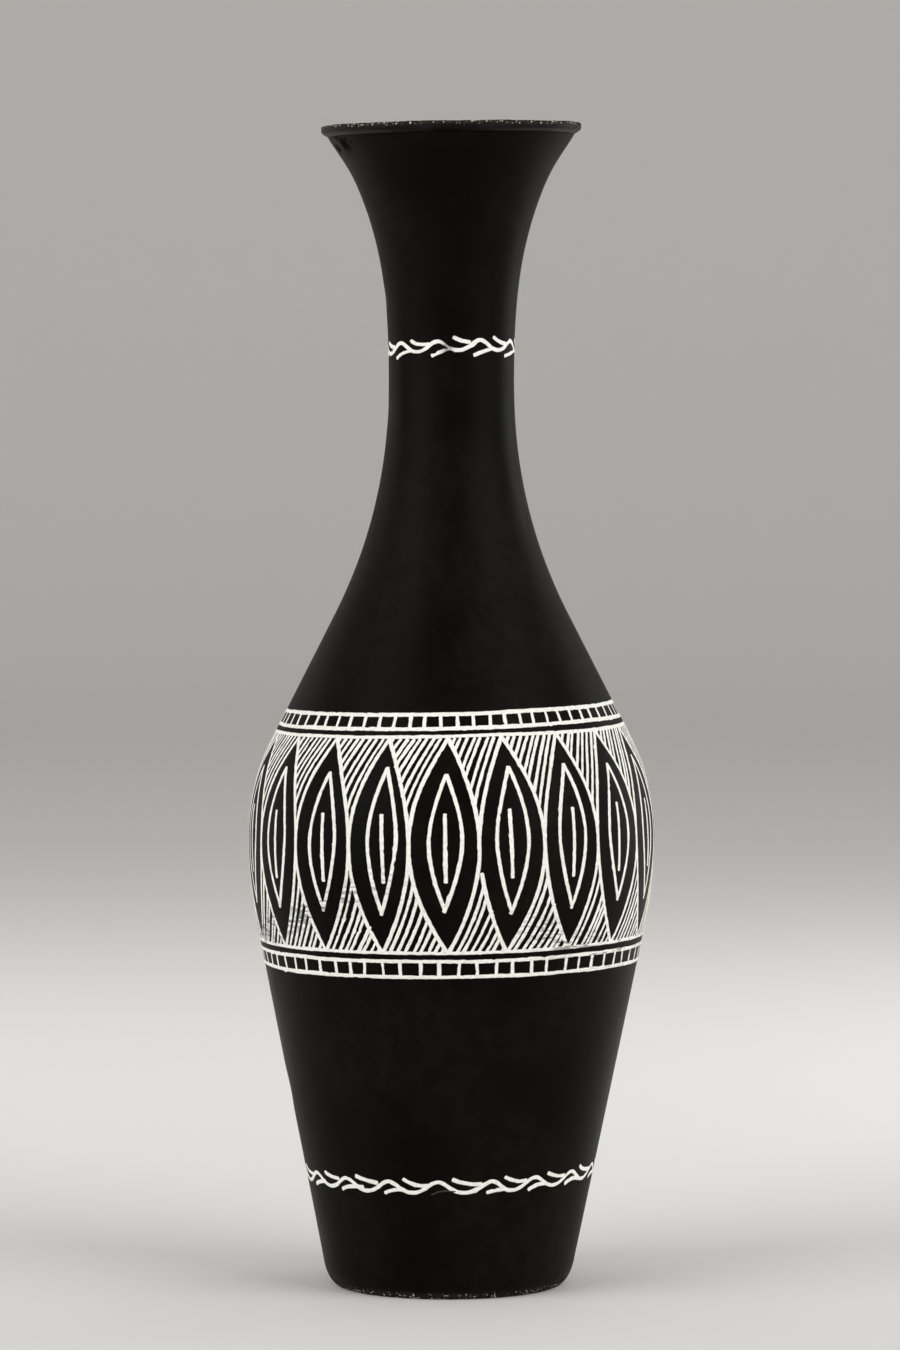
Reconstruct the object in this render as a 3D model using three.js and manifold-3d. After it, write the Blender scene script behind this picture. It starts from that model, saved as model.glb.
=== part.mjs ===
// A tall vase of burnished black clay with white mineral paste rubbed into the lines cut round its neck,
// belly and foot. The potter builds it in seven pieces, a flat base pat, five rings of wall and a lip
// coil, and lutes them one on another while they are leather-hard. Each run of joined lines holds one
// strip of paste, and each leaf and each midrib in the belly band is a strip of its own.
// Millimetres, +Z up, origin at the centre of the flat underside. Turns are degrees round the pot,
// from the front at -Y towards +X.

import * as THREE from "three";
import { mergeVertices } from "three/addons/utils/BufferGeometryUtils.js";
import Module from "manifold-3d";

const wasm = await Module();
wasm.setup();

// ---------- Driving dimensions of the clay ----------
const footRadius = 39; // flat underside
const heelRadius = 43.2; // where the trimmed bevel of the foot meets the wall
const heelHeight = 7;
const floorThickness = 8;
const bellyRadius = 69.9; // widest turn
const bellyHeight = 153.5;
const waistRadius = 21.4; // narrowest turn of the neck
const waistRise = 156.5; // from the belly up to the waist
const mouthRise = 85.9; // from the waist up to the underside of the lip
const lipRadius = 44.6;
const lipThickness = 3.8;
const lipOverhang = 2.4; // how far the lip stands out past the wall under it
const lipEdge = 1.3; // round on the edges of the lip
const wallAtFoot = 6;
const wallAtLip = 4;
const seamGap = 0.3; // clearance left between luted pieces
const seamRise = 3; // a luted seam climbs this far from the outside of the wall to the inside

// ---------- Driving dimensions of the paste ----------
const pasteGap = 0.35; // between the skin of the clay and the back of a strip
const pasteThickness = 0.5;
const sink = 0.1; // a strip that runs into another is this much thinner on both faces
const tipSink = 0.3; // the point of a leaf stops this far short of the middle of its hoop
const outlineWidth = 1.5;
const railWidth = 1.4;
const rungWidth = 1.3;
const vineWidth = 1.5;

// ---------- Outer shape: straight runs joined by smooth bends ----------
const waistHeight = bellyHeight + waistRise;
const mouthHeight = waistHeight + mouthRise;
const mouthRadius = lipRadius - lipOverhang;
const potHeight = mouthHeight + seamGap + lipThickness;

const coneTop = { height: bellyHeight - 38.5, radius: bellyRadius - 5 };
const shoulderTop = { height: bellyHeight + 34.5, radius: bellyRadius - 7.6 };
const shoulderFoot = { height: waistHeight - 78, radius: waistRadius + 18.6 };
const flareKnee = { height: mouthHeight - 3.9, radius: mouthRadius - 3.3 };
const kneeSlope = 0.6;
const mouthSlope = 1.1;

const slopeBetween = (a, b) => (b.radius - a.radius) / (b.height - a.height);
const heel = { height: heelHeight, radius: heelRadius };
const coneSlope = slopeBetween(heel, coneTop);
const shoulderSlope = slopeBetween(shoulderTop, shoulderFoot);

// Where the outline passes, and its slope (radius gained for each millimetre of height) there.
const stations = [
  { ...heel, slope: coneSlope },
  { ...coneTop, slope: coneSlope },
  { height: bellyHeight, radius: bellyRadius, slope: 0 },
  { ...shoulderTop, slope: shoulderSlope },
  { ...shoulderFoot, slope: shoulderSlope },
  { height: waistHeight, radius: waistRadius, slope: 0 },
  { ...flareKnee, slope: kneeSlope },
  { height: mouthHeight, radius: mouthRadius, slope: mouthSlope },
];

// Radius and slope of the skin at a height above the heel: a cubic between two stations.
function outline(height) {
  let i = 1;
  while (i < stations.length - 1 && height > stations[i].height) i += 1;
  const a = stations[i - 1];
  const b = stations[i];
  const span = b.height - a.height;
  const t = (height - a.height) / span;
  const radius =
    a.radius * (1 + 2 * t) * (1 - t) ** 2 +
    a.slope * span * t * (1 - t) ** 2 +
    b.radius * t * t * (3 - 2 * t) +
    b.slope * span * t * t * (t - 1);
  const slope =
    ((b.radius - a.radius) * 6 * t * (1 - t)) / span +
    a.slope * (1 - t) * (1 - 3 * t) +
    b.slope * t * (3 * t - 2);
  return { radius, slope };
}

// The wall is measured square to the skin, and thins from the foot to the lip.
function innerRadius(height) {
  const { radius, slope } = outline(Math.min(height, mouthHeight));
  const wall = THREE.MathUtils.lerp(wallAtFoot, wallAtLip, height / potHeight);
  return radius - wall * Math.hypot(1, slope);
}

// ---------- Geometry helpers ----------
const roundSides = 44; // sides of every turned piece
const wallStep = 12; // height between the rings of points on a wall

function closed(geometry) {
  geometry.deleteAttribute("normal");
  geometry.deleteAttribute("uv");
  return mergeVertices(geometry);
}

// Turns a profile of (radius, height) points round the Z axis.
function turned(points) {
  return closed(new THREE.LatheGeometry(points, roundSides).rotateX(Math.PI / 2));
}

function toSolid(geometry) {
  return new wasm.Manifold(
    new wasm.Mesh({
      numProp: 3,
      vertProperties: new Float32Array(geometry.getAttribute("position").array),
      triVerts: new Uint32Array(geometry.index.array),
    }),
  );
}

function fromSolid(solid) {
  const { vertProperties, triVerts } = solid.getMesh();
  return new THREE.BufferGeometry()
    .setAttribute("position", new THREE.BufferAttribute(vertProperties, 3))
    .setIndex(new THREE.BufferAttribute(triVerts, 1));
}

function joined(geometries) {
  return fromSolid(geometries.map(toSolid).reduce((a, b) => a.add(b)));
}

// ---------- Clay pieces ----------
function basePat() {
  return turned([
    new THREE.Vector2(0, 0),
    new THREE.Vector2(footRadius, 0),
    new THREE.Vector2(heelRadius, heelHeight),
    new THREE.Vector2(outline(floorThickness).radius, floorThickness),
    new THREE.Vector2(0, floorThickness),
  ]);
}

// A ring of wall from one height of the skin to another. Its inner edges are raised by lowRise and
// highRise, which makes the bevelled seams.
function wallRing(low, high, lowRise, highRise) {
  const steps = Math.max(1, Math.round((high - low) / wallStep));
  const points = [];
  for (let i = 0; i <= steps; i += 1) {
    const height = THREE.MathUtils.lerp(low, high, i / steps);
    points.push(new THREE.Vector2(outline(height).radius, height));
  }
  for (let i = steps; i >= 0; i -= 1) {
    const height = THREE.MathUtils.lerp(low + lowRise, high + highRise, i / steps);
    points.push(new THREE.Vector2(innerRadius(height), height));
  }
  points.push(points[0]);
  return turned(points);
}

function lipCoil() {
  const inside = innerRadius(mouthHeight);
  const bottom = mouthHeight + seamGap;
  const top = bottom + lipThickness;
  const section = new THREE.Shape();
  section.moveTo(inside, bottom);
  section.lineTo(lipRadius - lipEdge, bottom);
  section.absarc(lipRadius - lipEdge, bottom + lipEdge, lipEdge, -Math.PI / 2, 0);
  section.absarc(lipRadius - lipEdge, top - lipEdge, lipEdge, 0, Math.PI / 2);
  section.absarc(inside + lipEdge, top - lipEdge, lipEdge, Math.PI / 2, Math.PI);
  section.closePath();
  return turned(section.getPoints(1));
}

// ---------- Strips of paste, bent to lie on the skin ----------
const radians = THREE.MathUtils.degToRad;

function skinPoint([turn, height]) {
  const { radius } = outline(height);
  const angle = radians(turn);
  return new THREE.Vector3(radius * Math.sin(angle), -radius * Math.cos(angle), height);
}

function skinNormal([turn, height]) {
  const angle = radians(turn);
  const { slope } = outline(height);
  return new THREE.Vector3(Math.sin(angle), -Math.cos(angle), -slope).normalize();
}

// Bends a straight bar or ring to follow path(along) on the skin. partOf(i) says where vertex i lies in
// it: along from 0 to 1, side -1 or 1, up 0 or 1.
function layOnSkin(geometry, partOf, path, width, inset) {
  const parts = Array.from({ length: geometry.getAttribute("position").count }, (_, i) => partOf(i));
  const nudge = 1e-3;
  parts.forEach(({ along, side, up }, i) => {
    const ahead = skinPoint(path(along + nudge)).sub(skinPoint(path(along - nudge)));
    const normal = skinNormal(path(along));
    const across = ahead.cross(normal).normalize();
    const point = skinPoint(path(along))
      .addScaledVector(across, (side * width) / 2)
      .addScaledVector(normal, pasteGap + inset + up * (pasteThickness - 2 * inset));
    geometry.getAttribute("position").setXYZ(i, point.x, point.y, point.z);
  });
  return closed(geometry);
}

function openStrip(path, width, pieces, inset = 0) {
  const bar = new THREE.BoxGeometry(2, 1, 1, 1, pieces, 1);
  const at = bar.getAttribute("position");
  const partOf = (i) => ({ side: at.getX(i), along: at.getY(i) + 0.5, up: at.getZ(i) + 0.5 });
  return layOnSkin(bar, partOf, path, width, inset);
}

function closedStrip(path, width, pieces, inset = 0) {
  const ring = new THREE.TorusGeometry(1, 0.1, 4, pieces);
  const uv = ring.getAttribute("uv");
  const partOf = (i) => {
    const corner = Math.round(uv.getY(i) * 4) % 4;
    return {
      along: uv.getX(i),
      side: corner === 0 || corner === 3 ? 1 : -1,
      up: corner < 2 ? 1 : 0,
    };
  };
  return layOnSkin(ring, partOf, path, width, inset);
}

// Two rails round the pot with upright rungs between them: a band with a window cut between each pair of
// rungs. The windows run through both faces of the band.
function ladder({ low, high, rungs }) {
  const width = high - low + railWidth;
  let solid = toSolid(closedStrip((t) => [360 * t, (low + high) / 2], width, rungs));
  const pitch = 360 / rungs;
  const windowWidth = radians(pitch) * outline((low + high) / 2).radius - rungWidth;
  for (let i = 0; i < rungs; i += 1) {
    const turn = (i + 0.5) * pitch;
    const path = (t) => [turn, THREE.MathUtils.lerp(low + railWidth / 2, high - railWidth / 2, t)];
    solid = solid.subtract(toSolid(openStrip(path, windowWidth, 1, -sink)));
  }
  return fromSolid(solid);
}

// ---------- The band of leaves round the belly ----------
const leafCount = 19;
const firstLeafTurn = -1.7;
const leafPitch = 360 / leafCount;
const leafTurn = (i) => firstLeafTurn + i * leafPitch;
const fieldTop = bellyHeight + 39.1;
const fieldBottom = bellyHeight - 32.5;
const outerLeaf = {
  height: (fieldTop + fieldBottom) / 2,
  halfLength: (fieldTop - fieldBottom) / 2 - tipSink,
  halfTurn: leafPitch / 2, // neighbours touch halfway up
  pieces: 12,
};
const innerLeaf = { height: bellyHeight + 5.1, halfLength: 23.2, halfTurn: 4.6, pieces: 10 };
const midrib = { height: bellyHeight + 3, halfLength: 11.6 };

// A closed leaf outline with bowed sides, pointed at its top and bottom.
function leafStrip(turn, leaf, inset) {
  const path = (t) => {
    const phase = 4 * THREE.MathUtils.euclideanModulo(t, 1);
    const rise = phase < 2 ? phase - 1 : 3 - phase;
    const side = phase < 2 ? 1 : -1;
    return [turn + side * leaf.halfTurn * (1 - rise * rise), leaf.height + rise * leaf.halfLength];
  };
  return closedStrip(path, outlineWidth, leaf.pieces, inset);
}

// The hoops above and below the leaves, and the leaves' outer outlines between them. No two neighbours
// are the same thickness, so each one runs into the next cleanly.
function leafField() {
  const hoopPath = (height) => (t) => [firstLeafTurn + 360 * t, height];
  const strips = [fieldBottom, fieldTop].map((h) => closedStrip(hoopPath(h), railWidth, 3 * leafCount));
  for (let i = 0; i < leafCount; i += 1) {
    const layer = i === leafCount - 1 ? 3 : 1 + (i % 2);
    strips.push(leafStrip(leafTurn(i), outerLeaf, (layer * sink) / 2));
  }
  return joined(strips);
}

function midribStrip(i) {
  const path = (t) => [leafTurn(i), midrib.height + (2 * t - 1) * midrib.halfLength];
  return openStrip(path, outlineWidth, 2);
}

// ---------- The running vines round the neck and the foot ----------
// A twig joins the wave at its last point. Each point is in wavelengths from its crest or trough, and in
// amplitudes from the vine's own height.
const upperTwig = [
  [-0.7, 1.4],
  [-0.5, 0.6],
  [-0.28, 0.15],
];
const lowerTwig = [
  [-0.6, -1.7],
  [-0.4, -0.95],
  [-0.12, -0.8],
];

function vine({ height, amplitude, waves, crestTurn }) {
  const wavelength = 360 / waves;
  const wave = (t) => [crestTurn + 360 * t, height + amplitude * Math.cos(2 * Math.PI * waves * t)];
  const strips = [closedStrip(wave, vineWidth, 4 * waves)];
  const addTwig = (points, fromTurn) => {
    const at = ([x, y]) => new THREE.Vector2(fromTurn + x * wavelength, height + y * amplitude);
    const curve = new THREE.QuadraticBezierCurve(...points.map(at));
    const path = (t) => curve.getPoint(t).toArray();
    strips.push(openStrip(path, vineWidth, 2, sink));
  };
  for (let i = 0; i < waves; i += 1) {
    addTwig(upperTwig, crestTurn + i * wavelength);
    addTwig(lowerTwig, crestTurn + (i + 0.5) * wavelength);
  }
  return joined(strips);
}

const neckVine = { height: waistHeight + 14.5, amplitude: 1.6, waves: 9, crestTurn: -13.2 };
const footVine = { height: 40.1, amplitude: 1.75, waves: 17, crestTurn: -4.7 };
const upperLadder = { low: bellyHeight + 41.9, high: bellyHeight + 47, rungs: 66 };
const lowerLadder = { low: bellyHeight - 40.6, high: bellyHeight - 35.2, rungs: 64 };

// ---------- Heights of the seams on the skin, each set clear of the lines beside it ----------
const seams = {
  lower: floorThickness,
  belly: lowerLadder.low - 17,
  shoulder: upperLadder.high + 14,
  neck: waistHeight - 26,
  mouth: neckVine.height + 20.6,
};

// ---------- Assembly ----------
const blackClay = new THREE.MeshStandardMaterial({ color: 0x17150f, roughness: 0.4, metalness: 0 });
const whitePaste = new THREE.MeshStandardMaterial({ color: 0xe6e1d3, roughness: 0.85, metalness: 0 });

const vase = new THREE.Group();
const clay = new THREE.Group();
const paste = new THREE.Group();
vase.add(clay, paste);

function addPiece(group, name, geometry, material) {
  const mesh = new THREE.Mesh(geometry, material);
  mesh.name = name;
  group.add(mesh);
}

const addClay = (name, geometry) => addPiece(clay, name, geometry, blackClay);
const addPaste = (name, geometry) => addPiece(paste, name, geometry, whitePaste);

addClay("base_pat", basePat());
addClay("lower_wall", wallRing(seams.lower + seamGap, seams.belly, 0, seamRise));
addClay("belly_wall", wallRing(seams.belly + seamGap, seams.shoulder, seamRise, seamRise));
addClay("shoulder_wall", wallRing(seams.shoulder + seamGap, seams.neck, seamRise, seamRise));
addClay("neck_wall", wallRing(seams.neck + seamGap, seams.mouth, seamRise, seamRise));
addClay("mouth_flare", wallRing(seams.mouth + seamGap, mouthHeight, seamRise, 0));
addClay("lip_coil", lipCoil());

addPaste("neck_vine_inlay", vine(neckVine));
addPaste("upper_ladder_inlay", ladder(upperLadder));
addPaste("leaf_field_inlay", leafField());
addPaste("lower_ladder_inlay", ladder(lowerLadder));
addPaste("foot_vine_inlay", vine(footVine));
for (let i = 0; i < leafCount; i += 1) {
  const number = String(i + 1).padStart(2, "0");
  addPaste(`leaf_${number}_inlay`, leafStrip(leafTurn(i), innerLeaf, 0));
  addPaste(`midrib_${number}_inlay`, midribStrip(i));
}

export default vase;
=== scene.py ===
"""A tall vase of burnished black clay with white paste rubbed into its cut lines.

The file follows the vase as it is put together: base pat, walls, lip coil, then the white lines from the
neck down to the foot, and last the table it stands on. Lengths are metres. Turns are degrees round the
vase, from the front at -Y towards +X.
"""

import bpy
import numpy as np
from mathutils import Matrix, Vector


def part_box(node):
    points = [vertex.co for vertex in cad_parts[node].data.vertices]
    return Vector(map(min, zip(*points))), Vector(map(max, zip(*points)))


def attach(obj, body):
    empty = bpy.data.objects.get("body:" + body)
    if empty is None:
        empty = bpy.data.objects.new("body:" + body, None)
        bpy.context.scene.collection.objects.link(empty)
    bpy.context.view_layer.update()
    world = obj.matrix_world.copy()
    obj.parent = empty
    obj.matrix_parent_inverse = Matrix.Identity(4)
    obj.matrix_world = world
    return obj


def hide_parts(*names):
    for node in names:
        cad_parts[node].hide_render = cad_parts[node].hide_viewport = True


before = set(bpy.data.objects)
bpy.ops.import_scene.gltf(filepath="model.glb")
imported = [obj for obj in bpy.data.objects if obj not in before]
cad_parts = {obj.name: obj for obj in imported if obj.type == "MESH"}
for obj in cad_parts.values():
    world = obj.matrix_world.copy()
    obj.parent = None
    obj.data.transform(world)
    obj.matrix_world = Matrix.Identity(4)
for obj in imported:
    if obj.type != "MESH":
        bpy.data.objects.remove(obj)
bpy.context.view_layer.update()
mm = 0.001

# ------------------------------------------------------------------ camera
# A long lens level with the upper end of the neck, looking a little down on the foot.
eye_height = 0.325
eye_distance = 2.109
aim_height = 0.2108
eye_sideways = -0.5 * mm
view = bpy.data.cameras.new("view")
view.lens = 163.3
view.sensor_width = 36
view_holder = bpy.data.objects.new("view", view)
bpy.context.scene.collection.objects.link(view_holder)
view_holder.location = (eye_sideways, -eye_distance, eye_height)
view_holder.rotation_euler = (np.arctan2(eye_distance, eye_height - aim_height), 0, 0)
bpy.context.scene.camera = view_holder

# ------------------------------------------------------------------ base pat
# A flat disc of clay patted out by hand, the floor of the vase. Its edge is trimmed to a bevel with a
# knife and left rough, and gritty where the vase is slid along.

# The pat, like every piece above it, follows the shape the potter's hands gave the vase: a smooth outline
# read from the design's rings, with the slow waves, the lean and the dents that hand building leaves.
walls = ["lower_wall", "belly_wall", "shoulder_wall", "neck_wall", "mouth_flare"]
facing_enough = 0.62  # how much of a face's normal points along the radius, on either side of a wall


def rings_of(node, facing):
    """Heights and radii of the rings of corners on the outside (facing=1) or the hollow side (facing=-1)
    of a turned piece: the corners of the faces whose normals point that way along the radius."""
    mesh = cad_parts[node].data
    corners = np.empty(3 * len(mesh.vertices))
    mesh.vertices.foreach_get("co", corners)
    order = np.empty(len(mesh.loops), dtype=np.int32)
    mesh.loops.foreach_get("vertex_index", order)
    triangles = corners.reshape(-1, 3)[order.reshape(-1, 3)]
    normals = np.cross(triangles[:, 1] - triangles[:, 0], triangles[:, 2] - triangles[:, 0])
    normals /= np.linalg.norm(normals, axis=1, keepdims=True)
    middles = triangles.mean(axis=1)[:, :2]
    outward = (normals[:, :2] * middles).sum(axis=1) / np.linalg.norm(middles, axis=1)
    x, y, z = triangles[facing * outward > facing_enough].reshape(-1, 3).T
    heights, first = np.unique(np.round(z, 5), return_index=True)
    return heights, np.hypot(x, y)[first]


def smooth_curve(heights, radii):
    """Radius as a function of height: a cubic between neighbouring rings, whose slope at each ring comes
    from the rings on both sides of it."""
    slopes = np.gradient(radii, heights)

    def radius(height):
        """The cubic between the two rings round this height."""
        i = np.clip(np.searchsorted(heights, height) - 1, 0, len(heights) - 2)
        span = heights[i + 1] - heights[i]
        t = np.clip((height - heights[i]) / span, 0, 1)
        low = radii[i] * (1 + 2 * t) + slopes[i] * span * t
        high = radii[i + 1] * (3 - 2 * t) - slopes[i + 1] * span * (1 - t)
        return low * (1 - t) ** 2 + high * t**2

    return radius


outside = {wall: rings_of(wall, 1) for wall in walls}
outside_radius = smooth_curve(*np.concatenate([outside[wall] for wall in walls], axis=1))
wall_top = outside["mouth_flare"][0][-1]

# times round, waves up the height, depth
hand_waves = ((2, 0.6, 0.22 * mm), (3, 1.4, 0.10 * mm), (5, 2.6, 0.05 * mm), (8, 4.1, 0.03 * mm))
# turn, height, size, depth
dents = (
    (-84, 0.3405, 3.2 * mm, 0.45 * mm),
    (-80, 0.3020, 4.0 * mm, 0.30 * mm),
    (-88, 0.0680, 4.5 * mm, 0.50 * mm),
    (93, 0.1210, 5.0 * mm, 0.35 * mm),
    (150, 0.2500, 9.0 * mm, 0.40 * mm),
    (-148, 0.0900, 8.0 * mm, 0.45 * mm),
)
foot_lean = 1.0 * mm  # how far the foot stands to the left of the axis
foot_lean_top = 0.15  # and the height where that ends
mouth_tilt = 0.015  # rise of the mouth to the right, a metre
mouth_tilt_from = 0.33
mouth_tilt_to = 0.396
vase_height = 0.4
shape_dice = np.random.default_rng(11)
wave_starts = shape_dice.uniform(0, 2 * np.pi, len(hand_waves))


def ease(value, low, high):
    """0 below low, 1 above high, and between them the S-curve t * t * (3 - 2 * t)."""
    t = np.clip((value - low) / (high - low), 0, 1)
    return t * t * (3 - 2 * t)


def nearest(turn):
    """The same turn, counted from -180 to 180."""
    return (turn + 180) % 360 - 180


def unevenness(turn, height):
    """How far the wall stands out past its outline: a sum of cosines round and up the vase, less a bell,
    depth * exp(-(distance / size) ** 2), at each dent."""
    angle = np.radians(turn)
    out = np.zeros(np.broadcast(turn, height).shape)
    for (around, up, depth), start in zip(hand_waves, wave_starts):
        out = out + depth * np.cos(around * angle + 2 * np.pi * up * height / vase_height + start)
    for dent_turn, dent_height, size, depth in dents:
        across = outside_radius(dent_height) * np.radians(nearest(turn - dent_turn))
        out = out - depth * np.exp(-(across**2 + (height - dent_height) ** 2) / size**2)
    return out


def placed(turn, radius, height):
    """Point at a turn, radius and height, moved with the lean of the foot and the tilt of the mouth."""
    angle = np.radians(turn)
    x = radius * np.sin(angle)
    lean = foot_lean * np.clip(1 - height / foot_lean_top, 0, 1) ** 2
    tilt = mouth_tilt * x * ease(height, mouth_tilt_from, mouth_tilt_to)
    return np.stack([x - lean, -radius * np.cos(angle), height + tilt], axis=-1)


# Local clay darkened in a smoky firing. Where it was rubbed with a stone while leather-hard it has a soft
# shine with fine upright rubbing marks; elsewhere it is dry and sandy.
def node(tree, kind, values=(), **settings):
    """A shader node of that kind, with its settings made and the named inputs given values or links."""
    made = tree.nodes.new("ShaderNode" + kind)
    for name, value in settings.items():
        setattr(made, name, value)
    for name, value in dict(values).items():
        socket = made.inputs[name]
        if isinstance(value, bpy.types.NodeSocket):
            tree.links.new(value, socket)
        else:
            socket.default_value = value
    return made


def maths(tree, operation, a, b=0.0, c=0.0):
    """One sum on numbers or links. MULTIPLY_ADD gives a * b + c."""
    return node(tree, "Math", {0: a, 1: b, 2: c}, operation=operation).outputs[0]


def between(tree, value, low, high, at_low=0.0, at_high=1.0):
    """value from low to high becomes at_low to at_high, smoothly and no further."""
    inputs = {"Value": value, "From Min": low, "From Max": high, "To Min": at_low, "To Max": at_high}
    return node(tree, "MapRange", inputs, interpolation_type="SMOOTHSTEP").outputs[0]


def blend_colours(tree, share, a, b):
    """Colour a where share is 0, b where it is 1."""
    return node(tree, "Mix", {0: share, 6: a, 7: b}, data_type="RGBA").outputs[2]


def blend_values(tree, share, a, b):
    """Number a where share is 0, b where it is 1."""
    return node(tree, "Mix", {0: share, 2: a, 3: b}, data_type="FLOAT").outputs[0]


def noise(tree, place, scale, detail=2.0, roughness=0.5, stretch=(1, 1, 1)):
    """Cloudy noise with that many patches a metre, drawn out where stretch is under 1."""
    spread = node(tree, "Mapping", {"Vector": place, "Scale": stretch}).outputs[0]
    inputs = {"Vector": spread, "Scale": scale, "Detail": detail, "Roughness": roughness}
    return node(tree, "TexNoise", inputs).outputs[0]


def effect(name, inputs, outputs):
    """An empty node group with number inputs and outputs: its tree, its input sockets and its exit."""
    tree = bpy.data.node_groups.new(name, "ShaderNodeTree")
    tree.interface.new_socket("Place", in_out="INPUT", socket_type="NodeSocketVector")
    for label in inputs:
        tree.interface.new_socket(label, in_out="INPUT", socket_type="NodeSocketFloat")
    for label in outputs:
        tree.interface.new_socket(label, in_out="OUTPUT", socket_type="NodeSocketFloat")
    entry = tree.nodes.new("NodeGroupInput")
    return tree, entry.outputs, tree.nodes.new("NodeGroupOutput").inputs


def use_effect(tree, group, values):
    """Places an effect in a material with its own values, and gives its outputs."""
    made = tree.nodes.new("ShaderNodeGroup")
    made.node_tree = group
    for name, value in values.items():
        if isinstance(value, bpy.types.NodeSocket):
            tree.links.new(value, made.inputs[name])
        else:
            made.inputs[name].default_value = value
    return made.outputs


# Grit: small hard specks scattered over a surface. Size is the specks' spacing, Amount how many show.
grit, grit_in, grit_out = effect("grit", ("Size", "Amount"), ("Mask",))
cell_scale = maths(grit, "DIVIDE", 1.0, grit_in["Size"])
cells = node(grit, "TexVoronoi", {"Vector": grit_in["Place"], "Scale": cell_scale})
chosen = node(grit, "SeparateColor", {"Color": cells.outputs["Color"]}).outputs[0]
is_speck = maths(grit, "LESS_THAN", chosen, grit_in["Amount"])
speck_size = maths(grit, "MULTIPLY_ADD", chosen, 0.4, 0.16)
roundness = maths(grit, "SUBTRACT", 1.0, maths(grit, "DIVIDE", cells.outputs["Distance"], speck_size))
speck = between(grit, roundness, 0.0, 0.35)
grit.links.new(maths(grit, "MULTIPLY", speck, is_speck), grit_out["Mask"])

# Clouding: soft patches of two sizes, as smoke, handling and rubbing leave. Size is the larger patch.
clouding, cloud_in, cloud_out = effect("clouding", ("Size",), ("Patches", "Mottle"))
patch_scale = maths(clouding, "DIVIDE", 1.0, cloud_in["Size"])
patches = noise(clouding, cloud_in["Place"], patch_scale, detail=3.0)
mottle = noise(clouding, cloud_in["Place"], maths(clouding, "MULTIPLY", patch_scale, 9.0), detail=4.0)
clouding.links.new(between(clouding, patches, 0.35, 0.65), cloud_out["Patches"])
clouding.links.new(between(clouding, mottle, 0.3, 0.7), cloud_out["Mottle"])

soot_dark = (0.0011, 0.0009, 0.0005, 1)
soot_light = (0.0026, 0.0022, 0.0014, 1)
olive_blush = (0.0088, 0.0070, 0.0038, 1)
dust_colour = (0.09, 0.08, 0.06, 1)
sand_dark = (0.011, 0.010, 0.008, 1)
sand_light = (0.024, 0.021, 0.017, 1)
sand_grain = (0.08, 0.07, 0.055, 1)
foot_grain = (0.80, 0.76, 0.66, 1)
pit_colour = (0.003, 0.003, 0.003, 1)
broken_dark = (0.0012, 0.0010, 0.0008, 1)
broken_grain = (0.10, 0.085, 0.065, 1)


def new_material(name):
    """A material, its tree, its shader's inputs, and the point of the vase that is being shaded."""
    material = bpy.data.materials.new(name)
    material.use_nodes = True
    tree = material.node_tree
    return material, tree, tree.nodes["Principled BSDF"].inputs, node(tree, "TexCoord").outputs["Object"]


def attribute(tree, name):
    """A value that the mesh carries at its points."""
    return node(tree, "Attribute", attribute_name=name).outputs["Fac"]


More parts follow.
